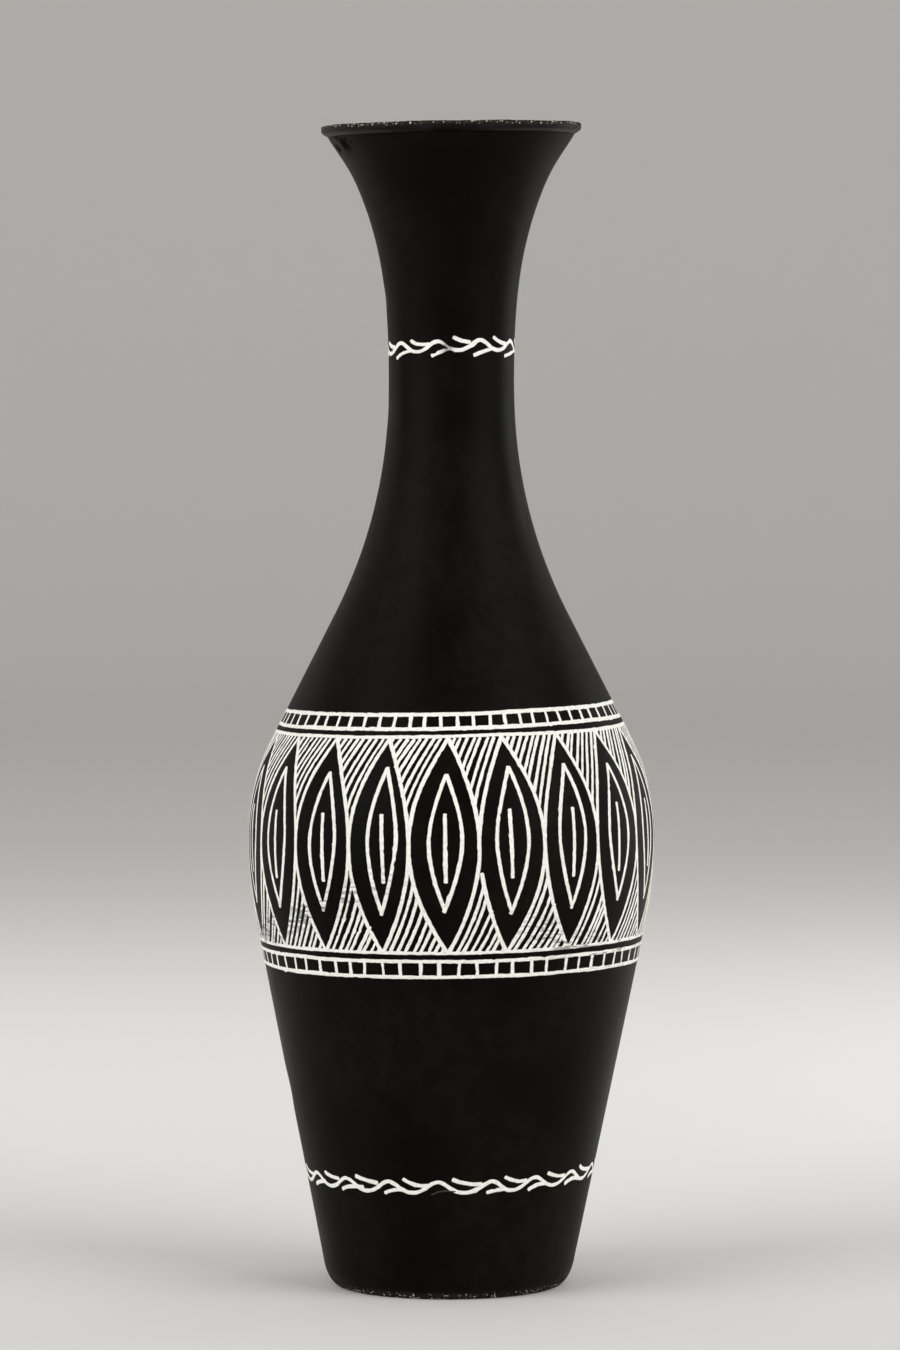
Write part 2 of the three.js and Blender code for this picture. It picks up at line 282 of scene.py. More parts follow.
def black_clay():
    """Smoked clay. The attribute burnish says how far it was rubbed to a shine, chipped where the skin
    has broken away."""
    material, tree, shader, place = new_material("black_clay")
    height = node(tree, "SeparateXYZ", {"Vector": place}).outputs["Z"]
    burnish = attribute(tree, "burnish")
    chipped = attribute(tree, "chipped")
    clouds = use_effect(tree, clouding, {"Place": place, "Size": 0.045})
    dust = use_effect(tree, grit, {"Place": place, "Size": 1.1 * mm, "Amount": 0.030})["Mask"]
    foot_grit = use_effect(tree, grit, {"Place": place, "Size": 0.9 * mm, "Amount": 0.65})["Mask"]
    pits = use_effect(tree, grit, {"Place": place, "Size": 3.6 * mm, "Amount": 0.06})["Mask"]

    burnished = blend_colours(tree, clouds["Patches"], soot_dark, soot_light)
    blush = maths(tree, "MULTIPLY", clouds["Mottle"], clouds["Patches"])
    burnished = blend_colours(tree, maths(tree, "MULTIPLY", blush, 0.5), burnished, olive_blush)
    burnished = blend_colours(tree, maths(tree, "MULTIPLY", dust, 0.45), burnished, dust_colour)
    pale_sand = use_effect(tree, grit, {"Place": place, "Size": 0.8 * mm, "Amount": 0.22})["Mask"]
    sandy = blend_colours(tree, clouds["Mottle"], sand_dark, sand_light)
    sandy = blend_colours(tree, maths(tree, "MULTIPLY", pale_sand, 0.5), sandy, sand_grain)
    colour = blend_colours(tree, burnish, sandy, burnished)
    near_foot = between(tree, height, 0.9 * mm, 2.7 * mm, 1.0, 0.0)
    colour = blend_colours(tree, maths(tree, "MULTIPLY", foot_grit, near_foot), colour, foot_grain)
    colour = blend_colours(tree, maths(tree, "MULTIPLY", pits, 0.6), colour, pit_colour)
    broken = blend_colours(tree, pale_sand, broken_dark, broken_grain)
    colour = blend_colours(tree, chipped, colour, broken)
    tree.links.new(colour, shader["Base Color"])

    rubbing = noise(tree, place, 620.0, detail=3.0, stretch=(1, 1, 0.045))
    rounds = noise(tree, place, 300.0, detail=2.0, stretch=(0.05, 0.05, 1))
    shine = maths(tree, "MULTIPLY_ADD", clouds["Patches"], 0.07, 0.37)
    shine = maths(tree, "MULTIPLY_ADD", rubbing, 0.10, shine)
    dry = maths(tree, "MULTIPLY_ADD", clouds["Mottle"], 0.12, 0.78)
    roughness = blend_values(tree, burnish, dry, shine)
    roughness = blend_values(tree, chipped, roughness, 0.9)
    tree.links.new(roughness, shader["Roughness"])

    rubbed_relief = maths(tree, "MULTIPLY", maths(tree, "MULTIPLY_ADD", rounds, 0.5, rubbing), 0.22)
    sand = noise(tree, place, 2200.0, detail=2.0)
    sandy_relief = maths(tree, "MULTIPLY_ADD", sand, 1.6, pale_sand)
    relief = blend_values(tree, burnish, sandy_relief, rubbed_relief)
    relief = maths(tree, "MULTIPLY_ADD", pits, -1.2, relief)
    relief = maths(tree, "MULTIPLY_ADD", dust, 0.5, relief)
    bump = node(tree, "Bump", {"Height": relief, "Strength": 0.5, "Distance": 0.06 * mm})
    tree.links.new(bump.outputs[0], shader["Normal"])
    shader["Specular IOR Level"].default_value = 0.05
    return material


clay = black_clay()
clay_edge = 38  # degrees between faces, past which an edge of clay isn't shaded smooth


def bands(grid):
    """Four-sided faces between each ring of point numbers and the next, every ring closing on itself."""
    low, high = grid[:-1], grid[1:]
    return np.stack([low, np.roll(low, -1, 1), np.roll(high, -1, 1), high], axis=-1).reshape(-1, 4).tolist()


def mesh_of(name, points, faces, values, sharp_edge):
    """A mesh whose points carry the named values, smooth but for edges of more than sharp_edge degrees."""
    mesh = bpy.data.meshes.new(name)
    mesh.from_pydata(points.tolist(), [], faces)
    for label, value in values.items():
        mesh.attributes.new(label, "FLOAT", "POINT").data.foreach_set("value", value.astype(np.float32))
    mesh.shade_smooth()
    mesh.set_sharp_from_angle(angle=np.radians(sharp_edge))
    return mesh


def shell_mesh(name, rings, closed, attributes):
    """A mesh through rings of points: rings[i, j] is point j round ring i. Each ring closes on itself. The
    last ring joins the first when closed, and otherwise both end rings are drawn to a point at their
    middle. attributes gives each ring point its value."""
    rows, columns = rings.shape[:2]
    grid = np.arange(rows * columns).reshape(rows, columns)
    faces = bands(np.vstack([grid, grid[:1]]) if closed else grid)
    points = rings.reshape(-1, 3)
    values = {label: np.broadcast_to(value, (rows, columns)).ravel() for label, value in attributes.items()}
    if not closed:
        first, last = rows * columns, rows * columns + 1
        points = np.vstack([points, rings[0].mean(axis=0), rings[-1].mean(axis=0)])
        values = {label: np.append(v, (v[0], v[-1])) for label, v in values.items()}
        start, end = grid[0], grid[-1]
        faces += np.stack([np.full(columns, first), np.roll(start, -1), start], axis=-1).tolist()
        faces += np.stack([np.full(columns, last), end, np.roll(end, -1)], axis=-1).tolist()
    return mesh_of(name, points, faces, values, clay_edge)


def add_piece(name, mesh, material, replaced=()):
    """Puts a finished mesh on the vase, in place of the design's own nodes."""
    piece = bpy.data.objects.new(name, mesh)
    bpy.context.scene.collection.objects.link(piece)
    mesh.materials.append(material)
    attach(piece, "root")
    if replaced:
        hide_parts(*replaced)


def soft_noise(dice, shape, reach):
    """Random heights between about -1 and 1 that change over reach steps each way and close on
    themselves: white noise with its quick changes taken out by a bell-shaped filter."""
    waves = np.fft.rfft2(dice.standard_normal(shape))
    rows = np.fft.fftfreq(shape[0])[:, None]
    columns = np.fft.rfftfreq(shape[1])[None, :]
    waves *= np.exp(-2 * (np.pi * reach) ** 2 * (rows**2 + columns**2))
    smooth = np.fft.irfft2(waves, shape)
    return smooth / (2 * smooth.std())


def eased_corners(corners, cut, steps=5):
    """A line through corners with each inner one rounded: a parabola from cut before it to cut after."""
    corners = np.asarray(corners, float)
    before, here, after = corners[:-2], corners[1:-1], corners[2:]
    enter = here + cut * (before - here) / np.linalg.norm(before - here, axis=1, keepdims=True)
    leave = here + cut * (after - here) / np.linalg.norm(after - here, axis=1, keepdims=True)
    t = np.linspace(0, 1, steps)[:, None, None]
    bends = (1 - t) ** 2 * enter + 2 * t * (1 - t) * here + t**2 * leave
    return np.vstack([corners[:1], bends.swapaxes(0, 1).reshape(-1, 2), corners[-1:]])


def walked(line, step):
    """The same line with its points spaced evenly, about step apart."""
    lengths = np.concatenate([[0], np.cumsum(np.linalg.norm(np.diff(line, axis=0), axis=1))])
    even = np.linspace(0, lengths[-1], int(np.ceil(lengths[-1] / step)) + 1)
    return np.stack([np.interp(even, lengths, line[:, k]) for k in (0, 1)], axis=-1)


pat_heights, pat_radii = rings_of("base_pat", 1)
foot_radius = pat_radii[0]
heel_height, heel_radius = pat_heights[1], pat_radii[1]
pat_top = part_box("base_pat")[1].z
underside_dish = 0.5 * mm
pat_middle = 2 * mm  # radius of the innermost ring, which is drawn to a point

pat_columns = 720
pat_turns = np.linspace(0, 360, pat_columns, endpoint=False)
underside = eased_corners(
    [
        (pat_middle, underside_dish),
        (foot_radius - 9 * mm, underside_dish),
        (foot_radius - 4 * mm, 0.0),
        (foot_radius - 0.5 * mm, 0.0),
    ],
    cut=1.1 * mm,
)
# the bevel is half a straight cut and half a quarter round
quarter = np.linspace(0, np.pi / 2, 12)
bevel_out = (np.sin(quarter) + 2 * quarter / np.pi) / 2
bevel_up = (1 - np.cos(quarter) + 2 * quarter / np.pi) / 2
bevel_radius = foot_radius + (heel_radius - foot_radius) * bevel_out
bevel = np.stack([bevel_radius, heel_height * bevel_up], axis=-1)
pat_edge = (outside_radius(pat_top), pat_top)
pat_skin = walked(np.vstack([underside, bevel, [pat_edge]]), 0.7 * mm)
pat_line = np.vstack([pat_skin, walked(np.array([pat_edge, (pat_middle, pat_top)]), 2 * mm)[1:]])
pat_radius, pat_height = pat_line[:, :1], pat_line[:, 1:]
pat_dice = np.random.default_rng(23)
pat_shape = (len(pat_line), pat_columns)
edge_grain = 0.14 * mm
edge_waver = 0.16 * mm
nibble_depth = 0.9 * mm
on_bevel = ease(pat_radius, foot_radius - 2 * mm, foot_radius) * (1 - ease(pat_height, 1.5 * mm, 5 * mm))
rough_edge = soft_noise(pat_dice, pat_shape, 1.3) * edge_grain
rough_edge += soft_noise(pat_dice, pat_shape, 4) * edge_waver
nibbles = np.clip(soft_noise(pat_dice, pat_shape, 2.2) - 0.75, 0, 1) * nibble_depth
outline_swell = unevenness(pat_turns[None, :], pat_height) * ease(pat_radius, 0.03, 0.04)
pat_rings = placed(
    pat_turns[None, :],
    pat_radius + outline_swell + on_bevel * (rough_edge - nibbles),
    pat_height + on_bevel * np.clip(rough_edge + nibbles, 0, 1) * (pat_height < pat_top - 1 * mm),
)
pat_burnish = ease(pat_height, 0.8 * mm, 3.5 * mm) * (pat_radius > foot_radius - 1 * mm)
at_rim = (pat_height >= pat_top) * (pat_radius > pat_edge[0] - 1e-6)
pat_burnish = pat_burnish * (pat_height < pat_top) + at_rim
pat_mesh = shell_mesh("base_pat_clay", pat_rings, False, {"burnish": pat_burnish, "chipped": 0.0})
add_piece("base_pat_clay", pat_mesh, clay, ["base_pat"])

# ------------------------------------------------------------------ walls
# Five rings of clay, each coiled, drawn up thin and luted to the one below along a slanting seam that is
# rubbed over until it can't be seen. Outside they are burnished; inside the finger marks are left.
hollow = {wall: rings_of(wall, -1) for wall in walls}
hollow_radius = smooth_curve(*np.concatenate([hollow[wall] for wall in walls], axis=1))


def on_skin(turn, height, out=0.0):
    """Point on the outside of the vase, or lifted off it by out along the outline's normal."""
    slope = (outside_radius(height + 0.5 * mm) - outside_radius(height - 0.5 * mm)) / mm
    steep = np.hypot(1, slope)
    radius = outside_radius(height) + unevenness(turn, height) + out / steep
    return placed(turn, radius, height - out * slope / steep)


wall_columns = 480
wall_turns = np.linspace(0, 360, wall_columns, endpoint=False)[None, :]
row_step = 1.1 * mm
hollow_step = 1.6 * mm
finger_mark = 9.5 * mm
finger_depth = 0.45 * mm
finger_top = 0.300  # the finger marks in the hollow fade out from here
hollow_burnish = 0.335  # and the burnish of the mouth comes in from here
mouth_burnish = 0.350  # up to here
# where crumbs of clay broke away under the lip: turn, height, how far the crumbs are spread, how many
chip_places = ((-65, 0.3936, 4.2 * mm, 22), (-78, 0.3925, 2.6 * mm, 10), (97, 0.3940, 1.5 * mm, 4))
chip_depth = 0.5 * mm
chip_dice = np.random.default_rng(8)


def wall_rings(low, high, hollow_low, hollow_high):
    """The skin from low to high, then the hollow side back down, as one closed band of rings. The hollow
    side bears a rounded groove, abs(sin), for every finger_mark of height, fading out towards the mouth.
    The skin is broken in by chip_depth wherever a crumb of clay is lost."""
    skin_height = np.linspace(low, high, int((high - low) / row_step) + 2)[:, None]
    skin = on_skin(wall_turns, skin_height)
    inner_height = np.linspace(hollow_high, hollow_low, int((high - low) / hollow_step) + 2)[:, None]
    marks = np.abs(np.sin(np.pi * inner_height / finger_mark + 0.6 * np.sin(np.radians(3 * wall_turns))))
    fading = 1 - ease(inner_height, finger_top, mouth_burnish)
    inner = placed(
        wall_turns,
        hollow_radius(inner_height) + unevenness(wall_turns, inner_height) + marks * finger_depth * fading,
        inner_height,
    )
    chipped = np.zeros(skin.shape[:2])
    for place_turn, place_height, spread, count in chip_places:
        for right, above, size in chip_dice.normal(0, (0.5, 0.35, 0.3), (count, 3)):
            across = outside_radius(place_height) * np.radians(nearest(wall_turns - place_turn))
            away = np.hypot(across - right * spread, skin_height - place_height - above * spread)
            crumb = max(0.4, 0.62 + size) * mm
            chipped = np.maximum(chipped, 1 - ease(away, 0.5 * crumb, 1.25 * crumb))
    angle = np.radians(wall_turns)
    skin -= (chipped * chip_depth)[..., None] * np.stack([np.sin(angle), -np.cos(angle), 0 * angle], axis=-1)
    inner_burnish = ease(inner_height, hollow_burnish, mouth_burnish)
    burnish = np.vstack([np.ones((len(skin_height), 1)), inner_burnish])
    chipped = np.vstack([chipped, np.zeros((len(inner_height), wall_columns))])
    return np.vstack([skin, inner]), {"burnish": burnish, "chipped": chipped}


lip_seam = (wall_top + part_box("lip_coil")[0].z) / 2


def seams_on(side):
    """Heights where the walls meet on the outside or the hollow side, from the floor to the lip: halfway
    between the last ring of one and the first ring of the next."""
    between_walls = [(side[lower][0][-1] + side[upper][0][0]) / 2 for lower, upper in zip(walls, walls[1:])]
    return [pat_top, *between_walls, lip_seam]


seams = seams_on(outside)
hollow_seams = seams_on(hollow)
for index, wall in enumerate(walls):
    rings, values = wall_rings(*seams[index : index + 2], *hollow_seams[index : index + 2])
    wall_mesh = shell_mesh(f"{wall}_clay", rings, True, values)
    add_piece(f"{wall}_clay", wall_mesh, clay, [wall])

# ------------------------------------------------------------------ lip coil
# One thin coil laid on the flare, pinched down and squared with a wet leather. It stands out past the
# wall, and its top edge has lost its shine and a few crumbs of clay.
lip_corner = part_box("lip_coil")[1]
lip_top = lip_corner.z
lip_radius = lip_corner.x
lip_inside = hollow_radius(wall_top)
lip_columns = 720
lip_turns = np.linspace(0, 360, lip_columns, endpoint=False)[None, :]
lip_line = eased_corners(
    [
        ((lip_inside + lip_radius) / 2, lip_seam),
        (outside_radius(wall_top) - 0.1 * mm, lip_seam),
        (lip_radius, lip_seam + 1.5 * mm),
        (lip_radius, lip_top),
        (lip_inside, lip_top - 0.3 * mm),
        (lip_inside, lip_seam),
        ((lip_inside + lip_radius) / 2, lip_seam),
    ],
    cut=0.85 * mm,
    steps=7,
)
lip_line = walked(lip_line, 0.35 * mm)[:-1]
lip_r, lip_z = lip_line[:, :1], lip_line[:, 1:]
lip_dice = np.random.default_rng(41)
lip_shape = (len(lip_line), lip_columns)
free_edge = ease(lip_z, lip_seam + 0.4 * mm, lip_seam + 2.0 * mm)
lip_sand = 0.06 * mm
lip_waver = 0.10 * mm
crumb_depth = 0.9 * mm
grain = soft_noise(lip_dice, lip_shape, 1.2) * lip_sand + soft_noise(lip_dice, lip_shape, 12) * lip_waver
crumbs = np.clip(soft_noise(lip_dice, lip_shape, 3.0) - 0.85, 0, 1) * crumb_depth
top_edge = ease(lip_z, lip_top - 1.4 * mm, lip_top - 0.4 * mm)
lip_rings = placed(
    lip_turns,
    lip_r + unevenness(lip_turns, lip_z) + free_edge * grain,
    lip_z - top_edge * crumbs + free_edge * grain,
)

lip_dark = (0.0024, 0.0021, 0.0015, 1)
lip_light = (0.0070, 0.0065, 0.0055, 1)
top_dark = (0.010, 0.008, 0.005, 1)
top_light = (0.034, 0.027, 0.019, 1)
lip_grain = (0.90, 0.85, 0.74, 1)


def worn_lip():
    """The same smoked clay where handling has taken its shine: greyer, browner and sandy on top. worn is
    1 on the top, and gritty says how much of its sand is bare."""
    material, tree, shader, place = new_material("worn_lip_clay")
    worn = attribute(tree, "worn")
    gritty = attribute(tree, "gritty")
    clouds = use_effect(tree, clouding, {"Place": place, "Size": 0.012})
    sand = use_effect(tree, grit, {"Place": place, "Size": 0.8 * mm, "Amount": 0.8})["Mask"]
    side = blend_colours(tree, clouds["Patches"], lip_dark, lip_light)
    top = blend_colours(tree, clouds["Mottle"], top_dark, top_light)
    bare = maths(tree, "MULTIPLY", sand, gritty)
    top = blend_colours(tree, maths(tree, "MULTIPLY", bare, 0.95), top, lip_grain)
    wear = maths(tree, "MULTIPLY", worn, between(tree, clouds["Mottle"], 0.0, 0.8, 0.45, 1.0))
    tree.links.new(blend_colours(tree, wear, side, top), shader["Base Color"])
    shine = maths(tree, "MULTIPLY_ADD", clouds["Mottle"], 0.1, 0.4)
    tree.links.new(maths(tree, "MULTIPLY_ADD", wear, 0.34, shine), shader["Roughness"])
    grains = noise(tree, place, 1900.0, detail=3.0)
    relief = maths(tree, "MULTIPLY", maths(tree, "ADD", grains, sand), maths(tree, "ADD", wear, 0.15))
    bump = node(tree, "Bump", {"Height": relief, "Strength": 0.6, "Distance": 0.1 * mm})
    tree.links.new(bump.outputs[0], shader["Normal"])
    shader["Specular IOR Level"].default_value = 0.09
    return material


worn_edge = ease(lip_z, lip_top - 1.5 * mm, lip_top - 0.6 * mm)
gritty_edge = 0.12 + 0.8 * ease(lip_r, lip_radius - 1.6 * mm, lip_radius - 0.6 * mm)
lip_mesh = shell_mesh("lip_coil_clay", lip_rings, True, {"worn": worn_edge, "gritty": gritty_edge})
add_piece("lip_coil_clay", lip_mesh, worn_lip(), ["lip_coil"])

# ------------------------------------------------------------------ neck vine
# A wavy stem with a twig off every crest and every trough, cut with a round-ended tool just above the
# narrowest turn of the neck. The twigs all reach back to the left.

# Ground white mineral mixed to a paste and rubbed into the cut lines, then wiped level. It dries chalky,
# stands a hair proud of the clay, and is stained brown along its edges.
paste_sunk = 0.45 * mm
paste_proud = 0.07 * mm
station_step = 0.55 * mm
paste_edge = 50  # degrees, used as clay_edge is
width_wander = 0.09  # share of the width
line_drift = 0.10 * mm
edge_ragged = 0.085 * mm
edge_nick = 0.4 * mm
paste_dice = np.random.default_rng(5)
# share of the half width, share of the height it stands proud (-1 is the buried edge)
paste_section = np.array(
    [(-1.0, -1.0), (-1.0, 0.0), (-0.74, 0.7), (-0.28, 1.0), (0.28, 1.0), (0.74, 0.7), (1.0, 0.0), (1.0, -1.0)]
)

# how far the hand strayed from level at each height, up on the right and up at the front
drawn_heights = np.array((40, 113, 121, 157, 192, 200, 324)) * mm
higher_right = np.array((0.8, 0.55, 1.0, 1.2, 1.4, 1.4, 0.6)) * mm
higher_front = np.array((-0.6, 0.0, 0.0, 0.4, 0.0, 0.0, 1.1)) * mm


def hand_drawn(turn, height):
    """How far a line drawn by eye strays from level: a sine up on the right, a cosine up at the front."""
    angle = np.radians(turn)
    right = np.interp(height, drawn_heights, higher_right)
    front = np.interp(height, drawn_heights, higher_front)
    return right * np.sin(angle) + front * np.cos(angle)


def shaky(count, reach, size):
    """A slow random drift along a hand-drawn line: count values that change over reach steps."""
    reach = min(reach, count / 3)
    return soft_noise(paste_dice, (1, 2 * count), reach)[0, :count] * size


def whole(turn):
    """Paste neither narrowed nor painted with shade."""
    return 0 * turn


# turn, height and strength along the scuff that a rope or a shelf edge left across the belly
scuff_turns = (-110, -73, -50, -33, -20, -1, 15, 28, 40, 70, 100)
scuff_heights = np.array((124, 124.5, 131.7, 139, 145, 136, 131, 127, 120, 118, 118)) * mm
scuff_strengths = (0.0, 1.0, 0.9, 0.8, 0.5, 0.15, 0.1, 0.9, 0.9, 0.7, 0.0)
scuff_reach = 5.5 * mm


def scuffed(turn, height):
    """How hard the paste is scuffed: a bell across the scuff's line, times its strength there."""
    turn = nearest(turn)
    away = (height - np.interp(turn, scuff_turns, scuff_heights)) / scuff_reach
    return np.exp(-(away**2)) * np.interp(turn, scuff_turns, scuff_strengths, left=0, right=0)


def paste_run(turn, height, width, thinned_and_shaded=whole):
    """One stroke of paste along a line of turns and heights: the section carried along the line, its
    sides wandering by a tenth of its width and its ends rounded. Gives ring points and values."""
    radius = outside_radius(height)
    step = np.hypot(np.diff(np.radians(turn)) * radius[1:], np.diff(height))
    length = np.concatenate([[0], np.cumsum(step)])
    total = length[-1]
    ends = np.array([0, 0.06, 0.18, 0.36]) * mm
    inner = np.linspace(0.6 * mm, total - 0.6 * mm, max(2, int(total / station_step)))
    along = np.concatenate([ends, inner, total - ends[::-1]])
    turn, height = np.interp(along, length, turn), np.interp(along, length, height)
    count = len(along)
    radius = outside_radius(height)
    ahead = np.stack([np.gradient(np.radians(turn)) * radius, np.gradient(height)])
    ahead /= np.linalg.norm(ahead, axis=0)
    drift = shaky(count, 9, line_drift)
    from_end = np.minimum(along, total - along)
    blunt = np.clip(1 - from_end / (0.3 * width), 0, 1)
    rounding = (1.1 - blunt**3) ** 0.5
    # how far the paste is narrowed here and painted darker as shade: 1 at most
    rubbed = thinned_and_shaded(turn)
    half = 0.5 * width * (1 + shaky(count, 5, width_wander)) * rounding * (1 - 0.4 * rubbed)
    ragged = np.stack([shaky(count, 0.8, edge_ragged), shaky(count, 0.8, edge_ragged)])
    nicks = np.stack([shaky(count, 1.1, 1.0), shaky(count, 1.1, 1.0)])
    ragged += np.clip(nicks - 0.75, 0, 1) * edge_nick
    share, rise = paste_section.T
    sideways = share[None, :] * half[:, None] + drift[:, None]
    sideways += np.where(share > 0, ragged[0][:, None], ragged[1][:, None]) * np.abs(share)
    level = paste_proud * (1 + shaky(count, 3, 0.25) + paste_dice.uniform(-0.15, 0.15))
    out = np.where(rise < 0, -paste_sunk, rise * level[:, None] * np.sqrt(rounding[:, None]))
    turns = turn[:, None] + np.degrees(sideways * ahead[1][:, None] / radius[:, None])
    heights = height[:, None] - sideways * ahead[0][:, None]
    heights = heights + hand_drawn(turn, height)[:, None]
    points = on_skin(turns, heights, out)
    edge = np.broadcast_to(np.abs(share), out.shape)
    # that share again, which paints the paste darker as shade
    thin_and_shaded = np.broadcast_to(rubbed[:, None], out.shape)
    smudge = np.broadcast_to(scuffed(turn, height)[:, None], out.shape)
    return points, {"edge": edge, "thin_and_shaded": thin_and_shaded, "smudge": smudge}


def paste_mesh(name, runs):
    """All the strokes of one piece in one mesh. Each is a tube of eight-sided rings with flat ends."""
    points, values, faces, first = [], {"edge": [], "thin_and_shaded": [], "smudge": []}, [], 0
    for rings, attributes in runs:
        rows, columns = rings.shape[:2]
        grid = first + np.arange(rows * columns).reshape(rows, columns)
        faces += bands(grid) + [grid[0, ::-1].tolist(), grid[-1].tolist()]
        points.append(rings.reshape(-1, 3))
        for label, value in attributes.items():
            values[label].append(value.ravel())
        first += rows * columns
    values = {label: np.concatenate(value) for label, value in values.items()}
    return mesh_of(name, np.vstack(points), faces, values, paste_edge)


paste_dull = (0.84, 0.81, 0.76, 1)
paste_bright = (0.95, 0.935, 0.91, 1)
stain_colour = (0.30, 0.22, 0.13, 1)
dirt_colour = (0.22, 0.17, 0.11, 1)
# painted shade: a darker blue-grey laid on the paste down the front of the neck, standing in for shade
painted_shade_colour = (0.10, 0.115, 0.14, 1)
scuff_colour = (0.075, 0.085, 0.10, 1)


def white_paste():
    """Chalky paste. edge is 1 along its sides, where it is stained; the thinning attribute is 1 where the
    paste is narrowed and painted a darker blue-grey as shade; and smudge where it is scuffed and the black
    shows through in fine level scratches."""
    material, tree, shader, place = new_material("white_paste")
    edge = attribute(tree, "edge")
    thin_and_shaded = attribute(tree, "thin_and_shaded")
    smudge = attribute(tree, "smudge")
    clouds = use_effect(tree, clouding, {"Place": place, "Size": 0.010})
    dirt = use_effect(tree, grit, {"Place": place, "Size": 1.4 * mm, "Amount": 0.07})["Mask"]
    white = blend_colours(tree, clouds["Mottle"], paste_dull, paste_bright)
    stain = maths(tree, "MULTIPLY", between(tree, edge, 0.62, 1.0), clouds["Patches"])
    white = blend_colours(tree, maths(tree, "MULTIPLY", stain, 0.55), white, stain_colour)
    white = blend_colours(tree, maths(tree, "MULTIPLY", dirt, 0.6), white, dirt_colour)
    # painted shade: where the paste is narrowed at the front of the neck it turns, in patches, to the darker
    # blue-grey
    rubbed = maths(tree, "MULTIPLY", thin_and_shaded, between(tree, clouds["Mottle"], 0.0, 0.75, 0.55, 1.0))
    colour = blend_colours(tree, rubbed, white, painted_shade_colour)
    hairlines = noise(tree, place, 900.0, detail=3.0, roughness=0.65, stretch=(0.16, 0.16, 1))
    scratched = maths(tree, "MULTIPLY", smudge, between(tree, hairlines, 0.47, 0.60))
    colour = blend_colours(tree, maths(tree, "MULTIPLY", scratched, 0.85), colour, scuff_colour)
    tree.links.new(colour, shader["Base Color"])
    tree.links.new(maths(tree, "MULTIPLY_ADD", clouds["Mottle"], 0.14, 0.74), shader["Roughness"])
    grains = noise(tree, place, 2600.0, detail=3.0)
    bump = node(tree, "Bump", {"Height": grains, "Strength": 0.5, "Distance": 0.07 * mm})
    tree.links.new(bump.outputs[0], shader["Normal"])
    shader["Specular IOR Level"].default_value = 0.3
    return material


paste = white_paste()


def add_paste(name, runs, replaced=()):
    """Puts strokes of white paste on the vase as one piece."""
    add_piece(name, paste_mesh(name, runs), paste, replaced)


lap_start = -182
lap_end = 181


def hoop_run(height, width):
    """A line drawn once round the vase, its end run a little past its start at the back."""
    turn = np.linspace(lap_start, lap_end, 900)
    return paste_run(turn, height + shaky(len(turn), 40, 0.22 * mm), width)


line_width = 1.3 * mm


def stem(height, amplitude, waves, crest_turn):
    """The vine's stem: a cosine wave round the vase, its crests a little narrower than its troughs."""
    turn = np.linspace(lap_start, lap_end, 1400)
    phase = np.radians(waves * (turn - crest_turn))
    return turn, height + amplitude * np.cos(phase + 0.22 * np.sin(phase))


def twig(height, wavelength, from_turn, points):
    """A short curve through three points, given as (wavelengths from from_turn, rise): the parabola that
    passes the middle one halfway."""
    (x0, y0), (x1, y1), (x2, y2) = points
    t = np.linspace(0, 1, 24)
    shares = ((1 - t) * (1 - 2 * t), 4 * t * (1 - t), t * (2 * t - 1))
    x = shares[0] * x0 + shares[1] * x1 + shares[2] * x2
    y = shares[0] * y0 + shares[1] * y1 + shares[2] * y2
    return from_turn + x * wavelength, height + y


def even_waves(turn):
    """Waves as evenly round the vase as they were planned."""
    return turn


def vine_runs(height, amplitude, waves, crest_turn, upper, lower, drawn=even_waves, bare=(), thinned_and_shaded=whole):
    """Stem and twigs. drawn moves planned turns to where the hand put them. bare lists the troughs,
    counted from the front crest, that have no lower twig."""
    wavelength = 360 / waves
    turn, rise = stem(height, amplitude, waves, crest_turn)
    runs = [paste_run(drawn(turn), rise, line_width, thinned_and_shaded)]
    for k in range(waves):
        wobble = paste_dice.normal(0, 0.03, (2, 3, 2)) * (1, 6 * mm)
        at_crest = crest_turn + k * wavelength
        turn, rise = twig(height, wavelength, at_crest, upper + wobble[0])
        runs.append(paste_run(drawn(turn), rise, line_width, thinned_and_shaded))
        if k not in bare:
            turn, rise = twig(height, wavelength, at_crest + wavelength / 2, lower + wobble[1])
            runs.append(paste_run(drawn(turn), rise, line_width, thinned_and_shaded))
    return runs


# where round the neck the painted shade lies, and how far it reaches
front_shade_turn = -3.5
front_shade_reach = 5.0


def thinned_and_shaded_front(turn):
    """Paste narrowed and painted a darker blue-grey as shade down the front of the neck: a bell round
    the vase, 1 just left of the front."""
    return np.exp(-(((turn - front_shade_turn) / front_shade_reach) ** 2))


neck_vine_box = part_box("neck_vine_inlay")
neck_vine_height = (neck_vine_box[0].z + neck_vine_box[1].z) / 2 - 1.0 * mm
neck_amplitude = 1.65 * mm
neck_waves = 9
neck_crest = -13.2  # turn of the crest nearest the front
# the three points of a twig above a crest and of one below a trough
neck_upper = np.array([(-0.66, 2.7 * mm), (-0.46, 1.3 * mm), (-0.22, 0.6 * mm)])
neck_lower = np.array([(-0.70, -3.5 * mm), (-0.45, -2.3 * mm), (-0.16, -1.2 * mm)])
neck_vine = (neck_vine_height, neck_amplitude, neck_waves, neck_crest, neck_upper, neck_lower)
# the neck vine is narrowed and painted darker as shade just left of the front
neck_runs = vine_runs(*neck_vine, thinned_and_shaded=thinned_and_shaded_front)
add_paste("neck_vine", neck_runs, ["neck_vine_inlay"])

# ------------------------------------------------------------------ ladders
# Two lines round the vase, ruled by eye, with short upright cuts between them: one ladder above the leaves
# and one below.
rail_width = 1.2 * mm
rung_width = 1.15 * mm
box_margin = 0.7 * mm  # from a rail's middle to the edge of the design's box
ladders = {"upper_ladder": 66, "lower_ladder": 64}  # and how many rungs each has
first_rung = 2.0  # its turn


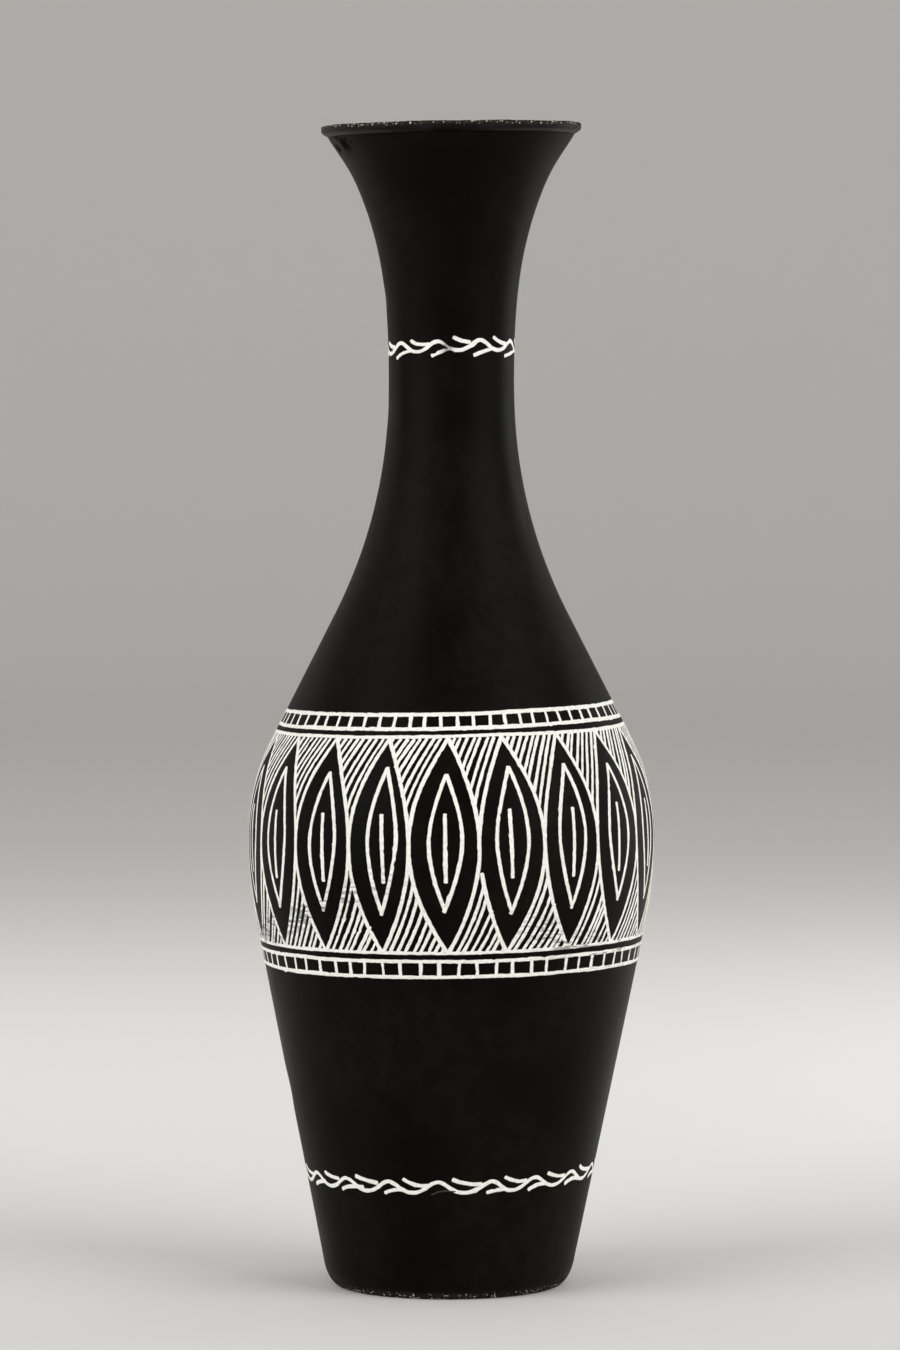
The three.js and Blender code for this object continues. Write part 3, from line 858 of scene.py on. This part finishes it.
def rung_runs(low, high, count, first_turn):
    """Upright cuts evenly round the vase, each a little off its place, its lean and its length."""
    runs = []
    for k in range(count):
        shift, lean, under, over = paste_dice.normal(0, (0.28, 0.22, 0.25, 0.25))
        t = np.linspace(0, 1, 8)
        turn = first_turn + 360 * k / count + shift + lean * (t - 0.5)
        height = low + (high - low) * t + (t - 0.5) * (under + over) * mm
        runs.append(paste_run(turn, height, rung_width * (1 + paste_dice.normal(0, 0.06))))
    return runs


for ladder, rungs in ladders.items():
    low_corner, high_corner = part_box(f"{ladder}_inlay")
    low_rail = low_corner.z + box_margin
    high_rail = high_corner.z - box_margin
    runs = [hoop_run(low_rail, rail_width), hoop_run(high_rail, rail_width)]
    runs += rung_runs(low_rail, high_rail, rungs, first_rung)
    add_paste(ladder, runs, [f"{ladder}_inlay"])

# ------------------------------------------------------------------ leaves
# A band of nineteen pointed leaves round the belly. Two lines round the vase hold them, their bowed sides
# run together halfway up, and each has a smaller leaf and a midrib inside it. Each gap is hatched.
leaf_count = 19
field_low, field_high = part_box("leaf_field_inlay")
field_bottom = field_low.z + box_margin
field_top = field_high.z - box_margin
field_middle = (field_bottom + field_top) / 2
field_half = (field_top - field_bottom) / 2


def turn_of(node_name):
    """Where round the vase the middle of a small piece of the design lies."""
    low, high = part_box(node_name)
    return np.degrees(np.arctan2((low.x + high.x) / 2, -(low.y + high.y) / 2))


leaf_turns = np.array([turn_of(f"midrib_{k + 1:02d}_inlay") for k in range(leaf_count)])
leaf_turns = np.unwrap(leaf_turns, period=360)
leaf_pitch = 360 / leaf_count
leaf_dice = np.random.default_rng(3)
tip_turns = leaf_turns + leaf_dice.normal(0, 0.35, leaf_count)
meeting_turns = leaf_turns + leaf_pitch / 2 + leaf_dice.normal(0, 0.35, leaf_count)
meeting_turns[[2, 17, 18]] += (-0.9, 1.5, -1.1)  # the front ones are set out less evenly
merge_slant = 0.35
leaf_half_turn = 4.55  # of an inner leaf
leaf_fullness = 1.75
rib_lean = 0.35


def leaf_side(k, side, rise):
    """Turn of the left (side=-1) or right (side=1) edge of leaf k at a rise from -1, the lower point, to
    1, the upper: it bows out as one minus the rise squared, as far as the meeting line."""
    k = k % leaf_count
    if side > 0:
        bow = meeting_turns[k] - tip_turns[k]
    else:
        bow = (meeting_turns[k - 1] - 360 * (k == 0)) - tip_turns[k]
    return tip_turns[k] + (bow - merge_slant * rise) * (1 - rise**2)


hoop_width = 1.05 * mm
hoop_rise = 0.3 * mm  # the hoops were drawn a little above the points of the leaves
field_runs = [
    hoop_run(field_bottom + hoop_rise, hoop_width),
    hoop_run(field_top + hoop_rise, hoop_width),
]
parted_leaf = 1  # the lower left edge of this leaf was started afresh, clear of its neighbour
for k in range(leaf_count):
    for side in (-1, 1):
        spans = [(1, -1)]
        if k == parted_leaf and side < 0:
            spans = [(1, -0.04), (-0.25, -1)]
        for start, end in spans:
            rise = np.linspace(start, end, 120)
            height = field_middle + rise * field_half
            field_runs.append(paste_run(leaf_side(k, side, rise), height, line_width))
add_paste("leaf_field", field_runs, ["leaf_field_inlay"])

# The inner leaves and their midribs. Each side of an inner leaf bows out as one minus a power of the rise.
inner_turns = leaf_turns.copy()
inner_turns[[17, 18]] += 0.9  # these two were started a little to the right
for k in range(leaf_count):
    low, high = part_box(f"leaf_{k + 1:02d}_inlay")
    middle = (low.z + high.z) / 2 + leaf_dice.normal(0, 0.5) * mm
    half_height = (high.z - low.z) / 2 - box_margin + leaf_dice.normal(0, 0.5) * mm
    half_turn = leaf_half_turn + leaf_dice.normal(0, 0.18)
    slant = leaf_dice.normal(0, 0.25)
    runs = []
    for side, overshoot in ((-1, 0.0), (1, 0.04)):
        rise = np.linspace(1.01, -1 - overshoot, 90)
        turn = inner_turns[k] + slant * rise + side * half_turn * (1 - np.abs(rise) ** leaf_fullness)
        runs.append(paste_run(turn, middle + rise * half_height, line_width))
    add_paste(f"leaf_{k + 1:02d}", runs, [f"leaf_{k + 1:02d}_inlay"])

    rib_low, rib_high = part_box(f"midrib_{k + 1:02d}_inlay")
    rise = np.linspace(rib_high.z, rib_low.z, 30) + leaf_dice.normal(0, 0.7) * mm
    lean = leaf_dice.normal(rib_lean, 0.2)
    turn = inner_turns[k] + leaf_dice.normal(0, 0.3) + lean * np.linspace(-1, 1, 30)
    add_paste(f"midrib_{k + 1:02d}", [paste_run(turn, rise, line_width)], [f"midrib_{k + 1:02d}_inlay"])

# The hatching: close slanting cuts that fill the gaps above and below each meeting line. Upper ones run
# beside the right-hand leaf, lower ones beside the left-hand leaf, so that all lean the same way.
hatch_width = 1.05 * mm
hatch_spacing = leaf_pitch / 8.6
hatch_runs = []
for k in range(leaf_count):
    gap = (tip_turns[(k + 1) % leaf_count] - tip_turns[k]) % 360
    for upper in (True, False):
        for stroke in range(1, 9):
            offset = (stroke + leaf_dice.normal(0, 0.08)) * hatch_spacing
            if offset > 0.95 * gap:
                continue
            rise = np.linspace(1.0, np.sqrt(offset / gap) - leaf_dice.uniform(-0.01, 0.02), 40)
            if upper:
                turn = leaf_side(k + 1, -1, rise) + 360 * (k + 1 == leaf_count) - offset
            else:
                rise = -rise
                turn = leaf_side(k, 1, rise) + offset
            turn = turn + leaf_dice.normal(0, 0.12) * (rise - rise.mean())
            width = hatch_width * (1 + leaf_dice.normal(0, 0.07))
            hatch_runs.append(paste_run(turn, field_middle + rise * field_half, width))
add_paste("hatching", hatch_runs)

# ------------------------------------------------------------------ foot vine
# The same vine as on the neck, longer in its waves, cut round the lower wall. One twig at the front was
# only scratched and never cut or filled.
foot_vine_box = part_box("foot_vine_inlay")
foot_vine_height = (foot_vine_box[0].z + foot_vine_box[1].z) / 2 + 0.65 * mm
foot_amplitude = 1.85 * mm
foot_waves = 17
foot_crest = -4.7
foot_upper = np.array([(-0.70, 3.0 * mm), (-0.47, 1.4 * mm), (-0.19, 0.95 * mm)])
foot_lower = np.array([(-0.63, -2.5 * mm), (-0.42, -1.2 * mm), (-0.15, -1.3 * mm)])


def front_waves(turn):
    """Waves closer together in front than behind, by a sine, and the one right of the front crest a
    little long, by a bell."""
    return turn - 3.6 * np.sin(np.radians(turn - foot_crest)) + 1.5 * np.exp(-(((turn - 15) / 8) ** 2))


foot_vine = (foot_vine_height, foot_amplitude, foot_waves, foot_crest, foot_upper, foot_lower)
foot_runs = vine_runs(*foot_vine, drawn=front_waves, bare=(0,))
add_paste("foot_vine", foot_runs, ["foot_vine_inlay"])


scratch_dark = (0.008, 0.006, 0.004, 1)
scratch_light = (0.045, 0.030, 0.016, 1)
scratch_width = 0.55 * mm


def scratched_clay():
    """A scratch through the burnished skin into the browner clay under it."""
    material, tree, shader, place = new_material("scratched_clay")
    clouds = use_effect(tree, clouding, {"Place": place, "Size": 6 * mm})
    colour = blend_colours(tree, clouds["Mottle"], scratch_dark, scratch_light)
    tree.links.new(colour, shader["Base Color"])
    tree.links.new(maths(tree, "MULTIPLY_ADD", clouds["Mottle"], 0.2, 0.7), shader["Roughness"])
    return material


bare_wave = 360 / foot_waves
bare_turn, bare_rise = twig(foot_vine_height, bare_wave, foot_crest + bare_wave / 2, foot_lower)
bare_run = paste_run(front_waves(bare_turn), bare_rise, scratch_width)
add_piece("unfilled_twig", paste_mesh("unfilled_twig", [bare_run]), scratched_clay())

# ------------------------------------------------------------------ table and light
# A pale table top that curves up far away, and a soft sky. Two broad soft lights stand either side of the
# vase, and the gap between them shows as the darker strip down the front of the neck. Two small ones behind
# draw the bright line down each edge, and two more shine straight down on the table.
table_columns = 96
table_flat = np.concatenate([[0.05], np.linspace(0.3, 3.0, 12)])
curve_from = 3.2
curve_size = 1.8
table_end = 2.6  # height it reaches
table_rise = np.linspace(0, np.pi / 2, 24)
table_out = curve_from + curve_size * np.sin(table_rise)
table_up = curve_size * (1 - np.cos(table_rise))
table_radius = np.concatenate([table_flat, table_out, [curve_from + curve_size]])[:, None]
table_height = np.concatenate([0 * table_flat, table_up, [table_end]])[:, None]
table_turns = np.radians(np.linspace(0, 360, table_columns, endpoint=False))[None, :]
table_x = table_radius * np.sin(table_turns)
table_y = table_radius * np.cos(table_turns)
table_rings = np.stack([table_x, table_y, table_height + 0 * table_turns], axis=-1)
table_grid = np.arange(table_x.size).reshape(table_x.shape)
table_faces = bands(table_grid) + [table_grid[0, ::-1].tolist()]
table_mesh = bpy.data.meshes.new("table")
table_mesh.from_pydata(table_rings.reshape(-1, 3).tolist(), [], table_faces)
table_mesh.shade_smooth()
table = bpy.data.objects.new("table", table_mesh)
bpy.context.scene.collection.objects.link(table)
table_paint = bpy.data.materials.new("table_paint")
table_paint.use_nodes = True
paint = table_paint.node_tree.nodes["Principled BSDF"].inputs
paint["Base Color"].default_value = (0.80, 0.79, 0.77, 1)
paint["Roughness"].default_value = 0.75
table_mesh.materials.append(table_paint)

# name, turn round the vase, distance, height, width, length, watts, whether it shines straight down
lamps = (
    ("left_light", -56, 2.6, 1.45, 2.3, 2.6, 50.0, False),
    ("right_light", 56, 2.6, 1.45, 2.3, 2.6, 50.0, False),
    ("left_edge_light", -122, 1.6, 0.45, 0.8, 0.8, 1.5, False),
    ("right_edge_light", 122, 1.6, 0.45, 0.8, 0.8, 3.5, False),
    ("left_table_light", -140, 0.9, 1.1, 0.9, 0.9, 0.8, True),
    ("right_table_light", 140, 0.9, 1.1, 0.9, 0.9, 1.3, True),
)
lamp_aim = 0.2  # height they are turned towards
downward_spread = 80
for name, turn, distance, height, width, length, watts, downward in lamps:
    lamp = bpy.data.lights.new(name, "AREA")
    lamp.shape = "RECTANGLE"
    lamp.size, lamp.size_y, lamp.energy = width, length, watts
    holder = bpy.data.objects.new(name, lamp)
    bpy.context.scene.collection.objects.link(holder)
    holder.visible_camera = False
    angle = np.radians(turn)
    holder.location = (distance * np.sin(angle), -distance * np.cos(angle), height)
    if downward:
        lamp.spread = np.radians(downward_spread)
    else:
        holder.rotation_euler = (np.pi / 2 - np.arctan2(height - lamp_aim, distance), 0, angle)

world = bpy.data.worlds.new("sky")
world.use_nodes = True
sky = world.node_tree.nodes["Background"].inputs
sky["Color"].default_value = (1.0, 0.99, 0.96, 1)
sky["Strength"].default_value = 0.34
bpy.context.scene.world = world
bpy.context.scene.view_settings.view_transform = "Standard"
